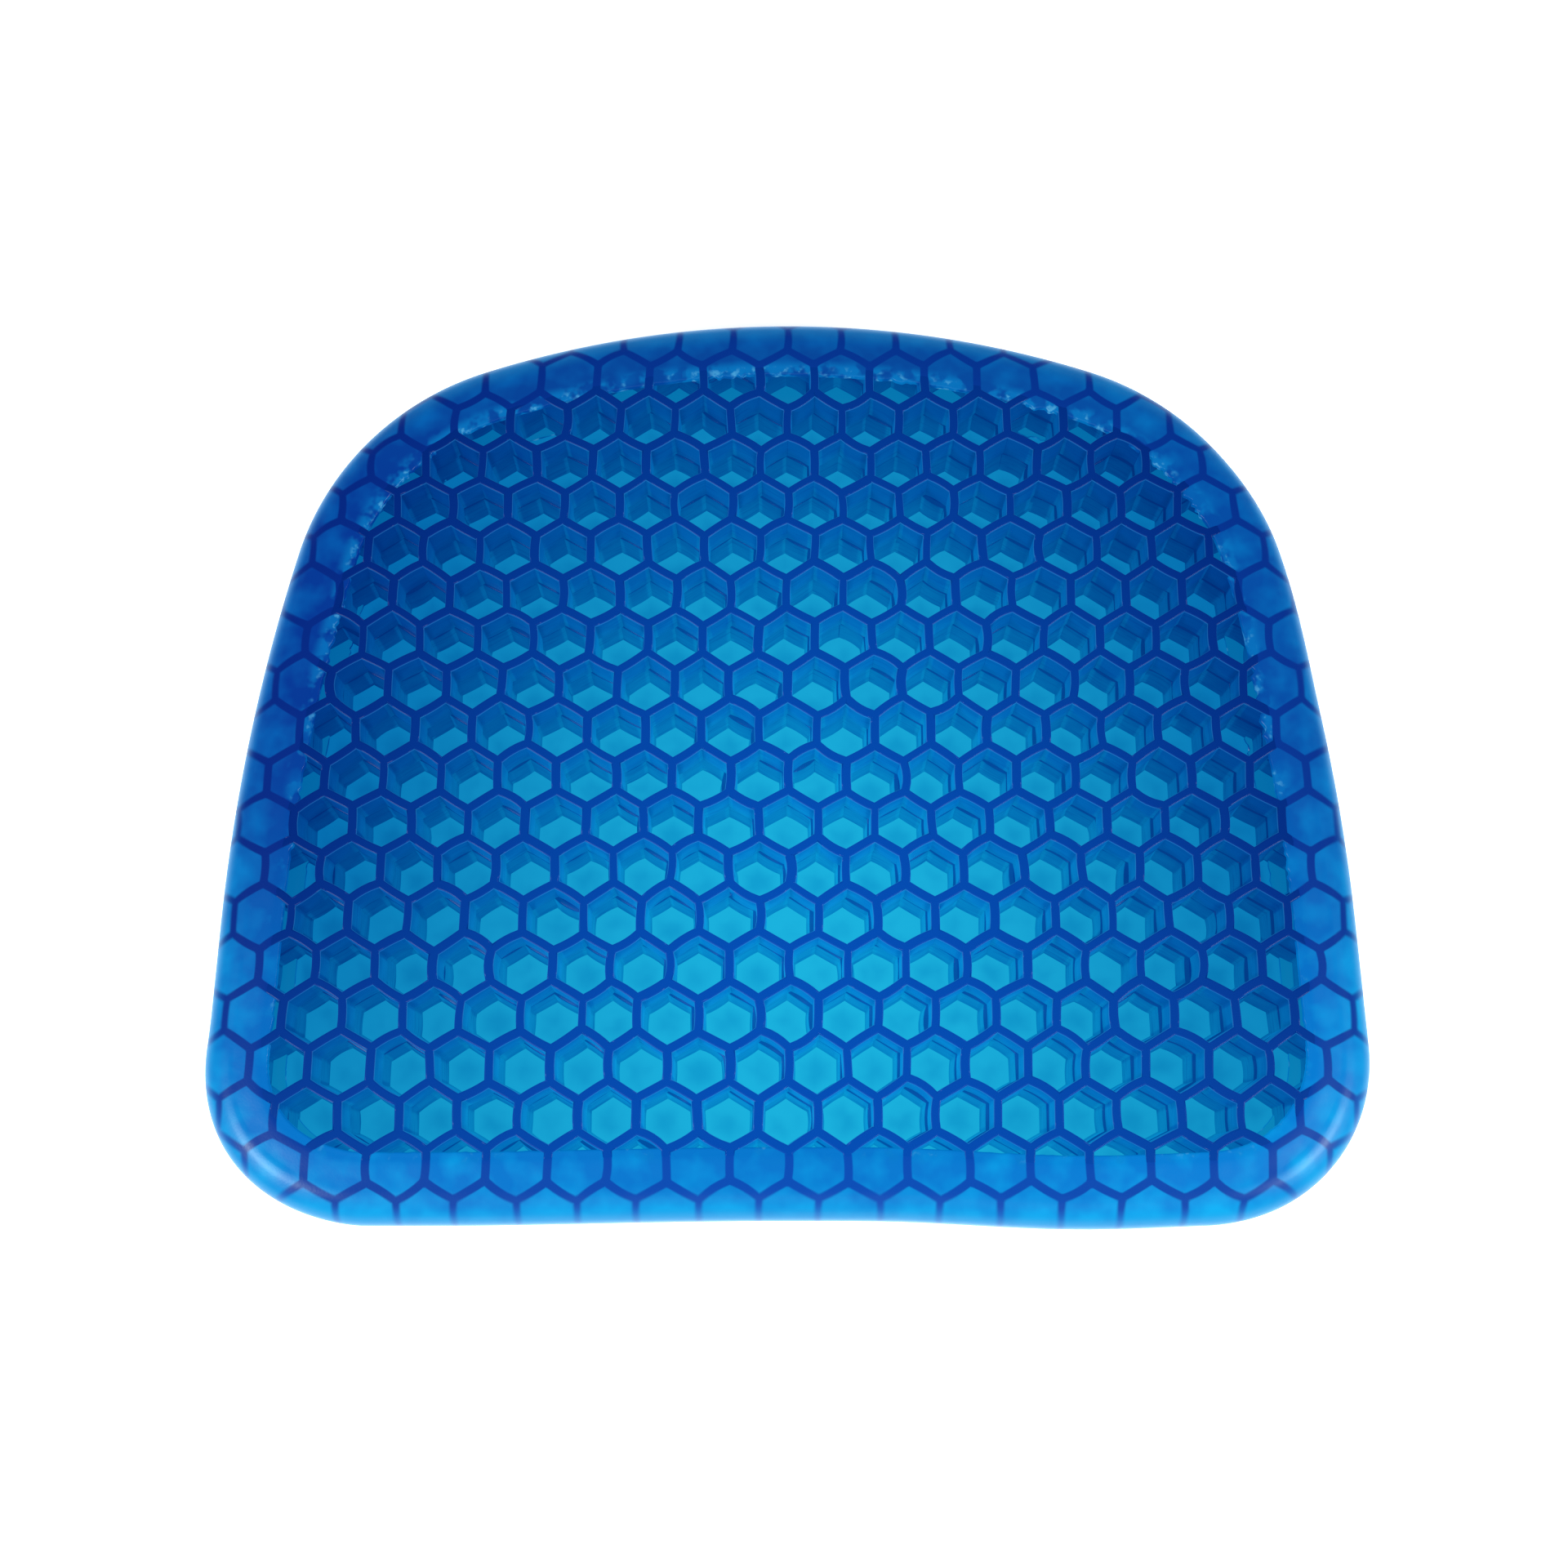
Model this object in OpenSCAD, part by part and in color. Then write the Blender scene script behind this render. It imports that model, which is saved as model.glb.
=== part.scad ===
// Double-layer honeycomb gel seat cushion.
// Two gel mouldings of equal height lie one on the other. Each is a lattice of hexagonal cells inside
// a smooth border band. The border covers the outermost cells, and a thin film closes the underside.
// X runs across the seat, Y from the front edge to the back edge, and Z up from the underside.

/* [Overall size] */
// Width at the widest place, just behind the front corners
seat_w = 420; // [350:1:504]
// Depth from the front edge to the back edge
seat_d = 348; // [290:1:418]
// Thickness of both mouldings together
seat_h = 30; // [25:1:50]

/* [Outline] */
// Radius of the two front corners
front_corner_r = 61; // [50:1:74]
// Angle by which the straight flanks lean in
flank_lean = 2; // [1:0.5:4]
// Radius of the shoulder, where the flank turns towards the back, as a multiple of the depth
shoulder_share = 2.01; // [1.67:0.01:2.41]
// Lean of the flank where the back corner starts, in degrees
shoulder_lean = 14; // [12:0.5:17]
// Radius of the two back corners, as a share of the depth
back_corner_share = 0.3075; // [0.2575:0.0025:0.37]
// Lean of the edge where the back corner ends, in degrees
back_corner_lean = 71; // [66:1:74]

/* [Border] */
// Width of the smooth border band, seen from above
border_w = 25; // [20:0.5:30]
// Thickness of the border's outer side wall
side_t = 6.5; // [6.5:0.25:9]
// Thickness of the skin over the outermost cells
skin_t = 3; // [2:0.25:5]
// Radius of the rounded outer edge, on top and underneath
edge_r = 12; // [8:0.5:12]

/* [Honeycomb] */
// Distance between cell centres across the seat
cell_pitch = 21.3; // [17.5:0.1:25.6]
// Distance between rows of cells, front to back
row_pitch = 17.7; // [14.7:0.1:21.3]
// Thickness of the wall between two cells
wall_t = 3; // [2:0.1:3.6]
// Place of the middle row, behind the centre of the seat
row_phase = 5.7; // [0:0.1:17.7]
// How far the lower lattice sits to the left of the upper one
layer_shift = 0.8; // [0:0.1:1.2]

/* [Underside] */
// Thickness of the film that closes the cells at the underside
film_t = 2; // [1:0.25:3]

/* [Hidden] */

gel_blue = [0.02, 0.38, 0.80, 0.85];
gel_navy = [0.03, 0.18, 0.60];
gel_cyan = [0.10, 0.66, 0.88, 0.80];

joint_z = seat_h / 2;
shoulder_r = shoulder_share * seat_d;
back_corner_r = back_corner_share * seat_d;
// The furthest that a straight piece of the outline may stand from the arc that it stands for
arc_error = 0.15;
edge_steps = 6;
// A cell is cut if its centre is no further than this beyond the inside of the border's side wall.
cell_reach = 3.5;
over = 1;

function ray(a) = [cos(a), sin(a)];

// The right half of the outline is a chain of arcs that meet smoothly: front corner, straight flank,
// shoulder, back corner and back edge.
front_c = [seat_w / 2 - front_corner_r, front_corner_r - seat_d / 2];
function shoulder_c(flank) =
    front_c + (front_corner_r - shoulder_r) * ray(flank_lean) + flank * ray(flank_lean + 90);
function corner_c(flank) = shoulder_c(flank) + (shoulder_r - back_corner_r) * ray(shoulder_lean);
// The back edge's centre lies on the middle line of the seat, which sets its radius.
function back_r(flank) = back_corner_r + corner_c(flank)[0] / cos(back_corner_lean);
function back_c(flank) = corner_c(flank) + (back_corner_r - back_r(flank)) * ray(back_corner_lean);
function back_edge(flank) = back_c(flank)[1] + back_r(flank);
// The back edge moves evenly with the length of the straight flank, so this length gives seat_d.
flank = (seat_d / 2 - back_edge(0)) / (back_edge(1) - back_edge(0));

// Each arc is [centre, radius, start angle, end angle, whether it starts where the last one ends].
// The front corner has a point at angle 0, so that the outline is as wide as seat_w there.
arcs = [
    [front_c, front_corner_r, -90, 0, false],
    [front_c, front_corner_r, 0, flank_lean, true],
    [shoulder_c(flank), shoulder_r, flank_lean, shoulder_lean, false],
    [corner_c(flank), back_corner_r, shoulder_lean, back_corner_lean, true],
    [back_c(flank), back_r(flank), back_corner_lean, 90, true]
];

function arc_steps(arc) = ceil((arc[3] - arc[2]) / (2 * acos(1 - arc_error / arc[1])));
function arc_points(arc, inset) = [
    for (i = [arc[4] ? 1 : 0 : arc_steps(arc)])
        arc[0] + (arc[1] - inset) * ray(arc[2] + (arc[3] - arc[2]) * i / arc_steps(arc))
];
function half_outline(inset) = [for (arc = arcs) each arc_points(arc, inset)];
function outline(inset) =
    let (half = half_outline(inset), n = len(half))
    [each half, for (i = [n - 2 : -1 : 0]) [-half[i][0], half[i][1]]];

// How far a point lies inside a convex outline, and negative outside it.
function depth_inside(p, edge) = min([
    for (i = [0 : len(edge) - 1])
        let (a = edge[i], b = edge[(i + 1) % len(edge)], d = b - a)
        (d[0] * (p[1] - a[1]) - d[1] * (p[0] - a[0])) / norm(d)
]);

// Cells: rows run across the seat, and every other row is moved half a pitch.
cell_rows = ceil(seat_d / row_pitch / 2) + 1;
cell_columns = ceil(seat_w / cell_pitch / 2) + 1;
function cell_centre(row, column) =
    [(column + (row % 2 == 0 ? 0 : 0.5)) * cell_pitch, row_phase + row * row_pitch];
function cells(shift) =
    let (edge = outline(side_t))
    [
        for (row = [-cell_rows : cell_rows], column = [-cell_columns - 1 : cell_columns])
            let (centre = cell_centre(row, column) + [shift, 0])
            if (depth_inside(centre, edge) > -cell_reach) centre
    ];

// A cell is the six-sided space halfway to its neighbours, less half a wall all round. Its tips point
// to the front and the back, and its slanting sides face the neighbours in the next rows.
neighbour = norm([cell_pitch / 2, row_pitch]);
slant_distance = (neighbour - wall_t) / 2;
cell_side_x = (cell_pitch - wall_t) / 2;
cell_side_y = (slant_distance * neighbour - cell_side_x * cell_pitch / 2) / row_pitch;
cell_tip_y = slant_distance * neighbour / row_pitch;
cell_outline = [
    [0, cell_tip_y],
    [-cell_side_x, cell_side_y],
    [-cell_side_x, -cell_side_y],
    [0, -cell_tip_y],
    [cell_side_x, -cell_side_y],
    [cell_side_x, cell_side_y]
];

// Cell walls between two heights. Under the border's skin they stop at the covered heights.
module lattice(low, high, covered_low, covered_high, shift) {
    difference() {
        union() {
            translate([0, 0, low])
                linear_extrude(high - low) polygon(outline(border_w));
            translate([0, 0, covered_low])
                linear_extrude(covered_high - covered_low) polygon(outline(side_t));
        }
        for (centre = cells(shift))
            translate([centre[0], centre[1], low - over])
                linear_extrude(high - low + 2 * over) polygon(cell_outline);
    }
}

// The border's section as [inset, height] points, from the joint up the outside, over the rounded
// edge, in along the top and back under the skin.
border_section = [
    [0, joint_z],
    for (i = [0 : edge_steps])
        [edge_r, seat_h - edge_r] - edge_r * [cos(90 * i / edge_steps), -sin(90 * i / edge_steps)],
    [border_w, seat_h],
    [border_w, seat_h - skin_t],
    [side_t, seat_h - skin_t],
    [side_t, joint_z]
];

// Carries the border's section round the outline of the seat.
module border() {
    around = len(outline(0));
    section = len(border_section);
    polyhedron(
        points = [for (s = border_section) each [for (p = outline(s[0])) [p[0], p[1], s[1]]]],
        faces = [
            for (j = [0 : section - 1], k = [0 : around - 1])
                let (j2 = (j + 1) % section, k2 = (k + 1) % around)
                [j * around + k, j2 * around + k, j2 * around + k2, j * around + k2]
        ],
        convexity = 6
    );
}

module upper_honeycomb() {
    color(gel_navy)
        lattice(joint_z, seat_h, joint_z, seat_h - skin_t, 0);
}

module upper_border() {
    color(gel_blue)
        border();
}

module lower_honeycomb() {
    color(gel_navy)
        lattice(film_t, joint_z, skin_t, joint_z, -layer_shift);
}

module lower_border() {
    color(gel_blue)
        translate([0, 0, seat_h]) mirror([0, 0, 1]) border();
}

// The film lies inside the lower border's skin.
module floor_film() {
    color(gel_cyan)
        linear_extrude(film_t) polygon(outline(border_w));
}

upper_honeycomb();
upper_border();
lower_honeycomb();
lower_border();
floor_film();
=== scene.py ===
"""Looks of the double-layer honeycomb gel seat cushion.

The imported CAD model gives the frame: the place and the size of the two lattices, the two borders and the
film. Each CAD node is replaced by one soft piece, with rounded and slightly uneven walls. The pieces are
made in mesh code, because a gel moulding has no cloth to simulate. Lengths are in metres.
"""

import logging
import math
from dataclasses import dataclass
from enum import Enum

import bpy
import numpy as np
from mathutils import Matrix, Vector
from mathutils.kdtree import KDTree


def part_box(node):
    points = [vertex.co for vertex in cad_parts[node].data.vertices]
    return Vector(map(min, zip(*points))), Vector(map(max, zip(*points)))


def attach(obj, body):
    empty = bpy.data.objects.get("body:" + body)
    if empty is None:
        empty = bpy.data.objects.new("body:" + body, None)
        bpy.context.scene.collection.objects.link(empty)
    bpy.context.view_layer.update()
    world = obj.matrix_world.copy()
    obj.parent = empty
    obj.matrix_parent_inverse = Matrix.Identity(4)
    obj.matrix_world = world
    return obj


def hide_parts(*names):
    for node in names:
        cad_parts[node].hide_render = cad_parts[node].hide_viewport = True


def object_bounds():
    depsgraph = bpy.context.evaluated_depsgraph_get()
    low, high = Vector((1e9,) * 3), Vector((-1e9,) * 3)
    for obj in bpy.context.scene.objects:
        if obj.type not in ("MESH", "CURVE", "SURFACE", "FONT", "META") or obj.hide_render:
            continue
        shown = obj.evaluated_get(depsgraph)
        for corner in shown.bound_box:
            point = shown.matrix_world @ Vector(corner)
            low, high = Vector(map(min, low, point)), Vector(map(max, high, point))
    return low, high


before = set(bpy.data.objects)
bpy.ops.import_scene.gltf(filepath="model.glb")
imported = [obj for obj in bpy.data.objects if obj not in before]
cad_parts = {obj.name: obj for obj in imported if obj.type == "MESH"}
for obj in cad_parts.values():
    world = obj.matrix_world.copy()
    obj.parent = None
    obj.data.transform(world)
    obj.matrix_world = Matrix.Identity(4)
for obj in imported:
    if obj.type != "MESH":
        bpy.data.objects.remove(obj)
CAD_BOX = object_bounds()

LOG = logging.getLogger("cushion")
MM = 0.001


class Layer(Enum):
    """The two mouldings that make up the cushion."""

    UPPER = "upper"
    LOWER = "lower"


@dataclass(frozen=True)
class Plan:
    """Sizes of the cushion. The width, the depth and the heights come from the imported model."""

    width: float
    depth: float
    height: float
    film: float
    front_corner_r: float = 61 * MM
    flank_lean: float = 2.0
    shoulder_share: float = 2.01
    shoulder_lean: float = 14.0
    back_corner_share: float = 0.3075
    back_corner_lean: float = 71.0
    border_w: float = 25 * MM
    side_t: float = 6.5 * MM
    skin_t: float = 3 * MM
    edge_r: float = 12 * MM
    cell_pitch: float = 21.3 * MM
    row_pitch: float = 17.7 * MM
    wall_t: float = 3 * MM
    row_phase: float = 5.7 * MM
    layer_shift: float = 0.8 * MM
    cell_reach: float = 3.5 * MM
    shoulder_drop: float = 1.0 * MM
    shoulder_full: float = 7 * MM
    shoulder_fade: float = 9 * MM
    shoulder_end: float = 22 * MM

    @property
    def joint(self) -> float:
        """Height of the joint between the two mouldings."""
        return self.height / 2

    def surface(self, depth: np.ndarray) -> np.ndarray:
        """Height of the border's outer surface, whose rounded edge runs out into a soft shoulder.

        Args:
            depth: distances inside the outline.

        Returns:
            The height at each distance.
        """
        fall = np.clip(self.edge_r - depth, 0, self.edge_r)
        shoulder = ramp(depth, 0, self.shoulder_full)
        shoulder = (1 - ramp(depth, self.shoulder_fade, self.shoulder_end)) * shoulder
        edge = self.height - self.edge_r + np.sqrt(self.edge_r**2 - fall**2)
        return edge - self.shoulder_drop * shoulder


def ray(degrees: float) -> np.ndarray:
    """The unit vector at an angle from +X."""
    return np.array([math.cos(math.radians(degrees)), math.sin(math.radians(degrees))])


def ramp(values: np.ndarray, start: float, end: float) -> np.ndarray:
    """A smooth step from 0 at start to 1 at end."""
    t = np.clip((values - start) / (end - start), 0, 1)
    return t * t * (3 - 2 * t)


class Ripple:
    """Smooth noise over a plane or a line, as a sum of waves with seeded directions and phases."""

    def __init__(self, seed: int, shortest: float, longest: float, waves: int = 9, inputs: int = 2) -> None:
        """Draws the waves.

        Args:
            seed: starts the random draws.
            shortest: the shortest wavelength.
            longest: the longest wavelength.
            waves: how many waves there are.
            inputs: 2 over a plane, 1 along a line.
        """
        rng = np.random.default_rng(seed)
        turn = rng.normal(size=(waves, inputs))
        turn /= np.linalg.norm(turn, axis=1)[:, None]
        lengths = np.exp(rng.uniform(math.log(shortest), math.log(longest), waves))
        self.waves = turn * (2 * math.pi / lengths)[:, None]
        self.phase = rng.uniform(0, 2 * math.pi, waves)
        self.scale = math.sqrt(2 / waves)

    def at(self, points: np.ndarray) -> np.ndarray:
        """The noise at each point, with a spread of about 1."""
        return np.sin(points @ self.waves.T + self.phase).sum(1) * self.scale


class Outline:
    """The outline of the cushion seen from above: a chain of arcs and straight runs.

    The gel has shrunk a little along the middle of the front edge and spread a little at three places.
    """

    TRIAL_FLANK = 0.1
    BATCH = 20000
    FRONT_BOW = 1.5 * MM
    BOW_BAND = (-0.17, -0.12)
    BOW_REACH = (0.01, 0.13)
    # place, reach and amount
    SPREAD = (
        ((0.100, -0.174), 0.070, 1.8 * MM),
        ((0.172, 0.065), 0.060, 2.0 * MM),
        ((-0.192, -0.140), 0.045, 2.0 * MM),
    )

    def __init__(self, plan: Plan, step: float) -> None:
        """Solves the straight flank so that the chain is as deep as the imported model.

        Args:
            plan: sizes of the cushion.
            step: about how far apart the points lie.
        """
        self.plan, self.step = plan, step
        short, long = self._back_edge(0.0), self._back_edge(self.TRIAL_FLANK)
        flank = (plan.depth / 2 - short) / (long - short) * self.TRIAL_FLANK
        self.base, self.normal = self._sample(self._arcs(flank))
        front = 1 - ramp(self.base[:, 1], *self.BOW_BAND)
        self.base[:, 1] += self.FRONT_BOW * front * (1 - ramp(np.abs(self.base[:, 0]), *self.BOW_REACH))
        for place, reach, amount in self.SPREAD:
            near = 1 - ramp(np.linalg.norm(self.base - np.array(place), axis=1), 0.0, reach)
            self.base += self.normal * (amount * near)[:, None]

    def _arcs(self, flank: float) -> list[tuple[np.ndarray, float, float, float]]:
        """The arcs of the right half, from front to back.

        Args:
            flank: length of the straight run behind the front corner.

        Returns:
            The centre, radius, start angle and end angle of each arc.
        """
        p = self.plan
        shoulder_r, back_corner_r = p.shoulder_share * p.depth, p.back_corner_share * p.depth
        front = np.array([p.width / 2 - p.front_corner_r, p.front_corner_r - p.depth / 2])
        shoulder = front + (p.front_corner_r - shoulder_r) * ray(p.flank_lean)
        shoulder = shoulder + flank * ray(p.flank_lean + 90)
        corner = shoulder + (shoulder_r - back_corner_r) * ray(p.shoulder_lean)
        back_r = back_corner_r + corner[0] / math.cos(math.radians(p.back_corner_lean))
        back = corner + (back_corner_r - back_r) * ray(p.back_corner_lean)
        return [
            (front, p.front_corner_r, -90.0, p.flank_lean),
            (shoulder, shoulder_r, p.flank_lean, p.shoulder_lean),
            (corner, back_corner_r, p.shoulder_lean, p.back_corner_lean),
            (back, back_r, p.back_corner_lean, 90.0),
        ]

    def _back_edge(self, flank: float) -> float:
        """Y of the back edge for a length of the straight flank."""
        centre, radius, _, _ = self._arcs(flank)[-1]
        return centre[1] + radius

    def _sample(self, arcs: list[tuple[np.ndarray, float, float, float]]) -> tuple[np.ndarray, np.ndarray]:
        """Lays points along the arcs and the straight runs between them, and mirrors them.

        Args:
            arcs: centre, radius, start angle and end angle of each.

        Returns:
            Points all round, counterclockwise, and their outward normals.
        """
        points, normals = [np.array([0.0, -self.plan.depth / 2])], [ray(-90)]

        def add(point: np.ndarray, normal: np.ndarray) -> None:
            """Adds a point, unless it repeats the last one."""
            if np.linalg.norm(points[-1] - point) > self.step / 10:
                points.append(point)
                normals.append(normal)

        for centre, radius, start, end in arcs:
            here, there = points[-1], centre + radius * ray(start)
            count = math.ceil(np.linalg.norm(there - here) / self.step)
            for t in np.linspace(0, 1, count + 1)[1:]:
                add(here + (there - here) * t, ray(start))
            count = math.ceil(radius * math.radians(end - start) / self.step)
            for angle in np.linspace(start, end, count + 1)[1:]:
                add(centre + radius * ray(angle), ray(angle))
        half, half_n = np.array(points), np.array(normals)
        half[-1, 0], half_n[-1, 0] = 0.0, 0.0
        mirror = np.array([-1.0, 1.0])
        return (
            np.vstack([half, half[-2:0:-1] * mirror]),
            np.vstack([half_n, half_n[-2:0:-1] * mirror]),
        )

    def depth_of(self, points: np.ndarray) -> tuple[np.ndarray, np.ndarray]:
        """Measures points from the nearest point of the outline.

        Args:
            points: places in the plane.

        Returns:
            How far each lies inside the outline, and the outward direction there.
        """
        square, nearest = (self.base**2).sum(1), np.empty(len(points), int)
        for start in range(0, len(points), self.BATCH):
            part = slice(start, start + self.BATCH)
            nearest[part] = (square - 2 * points[part] @ self.base.T).argmin(1)
        out = self.normal[nearest]
        return ((self.base[nearest] - points) * out).sum(1), out

    def held_inside(self, points: np.ndarray, least: float) -> np.ndarray:
        """Moves in the points that lie too near the outline.

        Args:
            points: places in the plane.
            least: how far inside the outline they have to lie.

        Returns:
            The points, moved where needed.
        """
        for _ in range(2):
            depth, out = self.depth_of(points)
            points = points - out * np.maximum(least - depth, 0)[:, None]
        return points


class Draft:
    """A mesh in the making: points with their attributes, and faces."""

    def __init__(self, *attributes: str) -> None:
        """Starts an empty mesh.

        Args:
            attributes: names of the numbers stored at each point.
        """
        self.points: list[np.ndarray] = []
        self.count = 0
        self.faces: list[np.ndarray] = []
        self.values: dict[str, list[np.ndarray]] = {name: [] for name in attributes}

    def add(self, plane: np.ndarray, z: np.ndarray | float, **values: np.ndarray | float) -> np.ndarray:
        """Adds points.

        Args:
            plane: their X and Y.
            z: their height.
            values: their attributes, 0 where left out.

        Returns:
            Their indices, in the shape of the plane array without its last axis.
        """
        flat = plane.reshape(-1, 2)
        height = np.broadcast_to(z, plane.shape[:-1]).reshape(-1)
        self.points.append(np.c_[flat, height])
        for name, parts in self.values.items():
            value = np.broadcast_to(values.get(name, 0.0), plane.shape[:-1])
            parts.append(np.asarray(value, float).reshape(-1))
        ids = self.count + np.arange(len(flat)).reshape(plane.shape[:-1])
        self.count += len(flat)
        return ids

    def strips(self, rings: list[np.ndarray]) -> None:
        """Adds quads between each closed ring of indices and the next."""
        for a, b in zip(rings, rings[1:]):
            quads = np.stack([a, np.roll(a, -1, -1), np.roll(b, -1, -1), b], -1)
            self.faces.append(quads.reshape(-1, 4))

    def fan(self, ring: np.ndarray, hub: np.ndarray) -> None:
        """Adds triangles from each ring of indices to its hub."""
        hub = np.broadcast_to(hub[..., None], ring.shape)
        self.faces.append(np.stack([ring, np.roll(ring, -1, -1), hub], -1).reshape(-1, 3))

    def rim(self, rings: np.ndarray, top: np.ndarray, bottom: np.ndarray) -> None:
        """Adds the outer side of a sheet of cells, along the edges that only one cell has.

        Args:
            rings: the points of each cell, counterclockwise.
            top: the index of each point's upper copy.
            bottom: the index of each point's lower copy.
        """
        edges: dict[tuple[int, int], tuple[int, int] | None] = {}
        for ring in rings:
            for a, b in zip(ring, np.roll(ring, -1)):
                key = (min(a, b), max(a, b))
                edges[key] = None if key in edges else (a, b)
        a, b = np.array([pair for pair in edges.values() if pair]).T
        self.faces.append(np.stack([top[b], top[a], bottom[a], bottom[b]], 1))

    def piece(self, name: str) -> bpy.types.Object:
        """Makes the smooth-shaded mesh object, at the origin, that rides with the cushion.

        Args:
            name: name of the object.

        Returns:
            The object.
        """
        mesh = bpy.data.meshes.new(name)
        points = np.vstack(self.points)
        sizes = np.concatenate([np.full(len(part), part.shape[1]) for part in self.faces])
        corners = np.concatenate([part.reshape(-1) for part in self.faces])
        mesh.vertices.add(len(points))
        mesh.vertices.foreach_set("co", points.ravel())
        mesh.loops.add(len(corners))
        mesh.loops.foreach_set("vertex_index", corners.astype(np.int32))
        mesh.polygons.add(len(sizes))
        starts = np.concatenate([[0], np.cumsum(sizes)[:-1]])
        mesh.polygons.foreach_set("loop_start", starts.astype(np.int32))
        mesh.update(calc_edges=True)
        mesh.polygons.foreach_set("use_smooth", np.ones(len(sizes), bool))
        for key, parts in self.values.items():
            mesh.attributes.new(key, "FLOAT", "POINT").data.foreach_set("value", np.concatenate(parts))
        mesh.update()
        piece = bpy.data.objects.new(name, mesh)
        bpy.context.scene.collection.objects.link(piece)
        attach(piece, "root")
        LOG.info("%s: %d points, %d faces", name, len(points), len(sizes))
        return piece


class Honeycomb:
    """The net of cell walls seen from above, with the small unevenness of a soft moulding."""

    STOPS = (0.0, 0.07, 0.3, 0.5, 0.7, 0.93)
    DRIFT = 0.35 * MM
    DRIFT_SEEDS = (11, 12)
    DRIFT_WAVES = (45 * MM, 160 * MM)
    JITTER = 0.25 * MM
    BOW = 0.3 * MM
    DENT = 0.9 * MM
    DENT_RANGE = (0.6, 1.2)
    DENT_SHARE = 0.07
    WALL_SPREAD = 0.07
    WALL_RANGE = (0.85, 1.2)
    BLUNT = 0.6
    SAMPLES = 8
    MARGIN = 14 * MM

    def __init__(self, plan: Plan, outline: Outline, shift: float, seed: int) -> None:
        """Places the cells and draws their walls.

        Args:
            plan: sizes of the cushion.
            outline: its outline.
            shift: how far the cells lie to the right of the plan's.
            seed: starts the random draws.
        """
        self.plan, self.outline = plan, outline
        self.rng = np.random.default_rng(seed)
        self._find_cells(shift)
        self._find_walls()
        self._draw_walls()

    def _find_cells(self, shift: float) -> None:
        """Places the cells, and marks the ones that are hollow.

        Args:
            shift: how far they lie to the right of the plan's.
        """
        p = self.plan
        rows = math.ceil(p.depth / p.row_pitch / 2) + 1
        columns = math.ceil(p.width / p.cell_pitch / 2) + 1
        centres = np.array([
            ((column + 0.5 * (row % 2)) * p.cell_pitch + shift, p.row_phase + row * p.row_pitch)
            for row in range(-rows, rows + 1)
            for column in range(-columns - 1, columns + 1)
        ])
        depth, _ = self.outline.depth_of(centres)
        near = depth > -self.MARGIN
        self.centres = centres[near]
        self.hollow = depth[near] > p.side_t - p.cell_reach

    def _find_walls(self) -> None:
        """Finds the junctions and walls round each cell."""
        p = self.plan
        half = p.cell_pitch / 2
        side_y = (p.row_pitch**2 - half**2) / (2 * p.row_pitch)
        tip_y = (p.row_pitch**2 + half**2) / (2 * p.row_pitch)
        corners = np.array([
            (0, tip_y), (-half, side_y), (-half, -side_y), (0, -tip_y), (half, -side_y), (half, side_y)
        ])
        spots: dict[tuple[int, int], int] = {}
        walls: dict[tuple[int, int], int] = {}
        places: list[np.ndarray] = []
        self.cell_junctions = np.zeros((len(self.centres), 6), int)
        self.cell_walls = np.zeros((len(self.centres), 6), int)
        self.cell_forward = np.zeros((len(self.centres), 6), bool)
        for i, centre in enumerate(self.centres):
            for k, corner in enumerate(centre + corners):
                key = tuple(round(c / MM) for c in corner)
                around = ((key[0] + dx, key[1] + dy) for dx in (0, -1, 1) for dy in (0, -1, 1))
                found = next((spots[spot] for spot in around if spot in spots), None)
                if found is None:
                    found = spots[key] = len(places)
                    places.append(corner)
                self.cell_junctions[i, k] = found
            for k in range(6):
                a, b = self.cell_junctions[i, k], self.cell_junctions[i, (k + 1) % 6]
                self.cell_walls[i, k] = walls.setdefault((min(a, b), max(a, b)), len(walls))
                self.cell_forward[i, k] = a < b
        self.junctions = np.array(places)
        self.wall_ends = np.array(list(walls))

    def _draw_walls(self) -> None:
        """Gives each junction and wall its unevenness, and lays points along the walls."""
        rng, count = self.rng, len(self.wall_ends)
        drift = [Ripple(seed, *self.DRIFT_WAVES).at(self.junctions) for seed in self.DRIFT_SEEDS]
        jitter = rng.normal(0, self.JITTER, self.junctions.shape)
        self.junctions = self.junctions + np.stack(drift, 1) * self.DRIFT + jitter
        bow = rng.normal(0, self.BOW, count)
        dented = rng.random(count) < self.DENT_SHARE
        bow = np.where(dented, self.DENT * np.sign(bow) * rng.uniform(*self.DENT_RANGE, count), bow)
        spread = 1 + self.WALL_SPREAD * rng.standard_normal(count)
        self.wall_half = self.plan.wall_t / 2 * spread.clip(*self.WALL_RANGE)
        stops = np.array(self.STOPS[1:])
        a, b = (self.junctions[self.wall_ends[:, i]] for i in (0, 1))
        along = b - a
        across = np.stack([-along[:, 1], along[:, 0]], 1) / np.linalg.norm(along, axis=1)[:, None]
        shift = (bow[:, None] * 4 * stops * (1 - stops))[:, :, None] * across[:, None, :]
        self.inner = a[:, None, :] + along[:, None, :] * stops[None, :, None] + shift
        first = len(self.junctions)
        line = first + np.arange(count * len(stops)).reshape(count, -1)
        line = np.where(self.cell_forward[..., None], line[self.cell_walls], line[self.cell_walls][..., ::-1])
        rings = np.concatenate([self.cell_junctions[..., None], line], 2)
        self.rings = rings.reshape(len(self.centres), -1)
        self.net = np.vstack([self.junctions, self.inner.reshape(-1, 2)])

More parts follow.
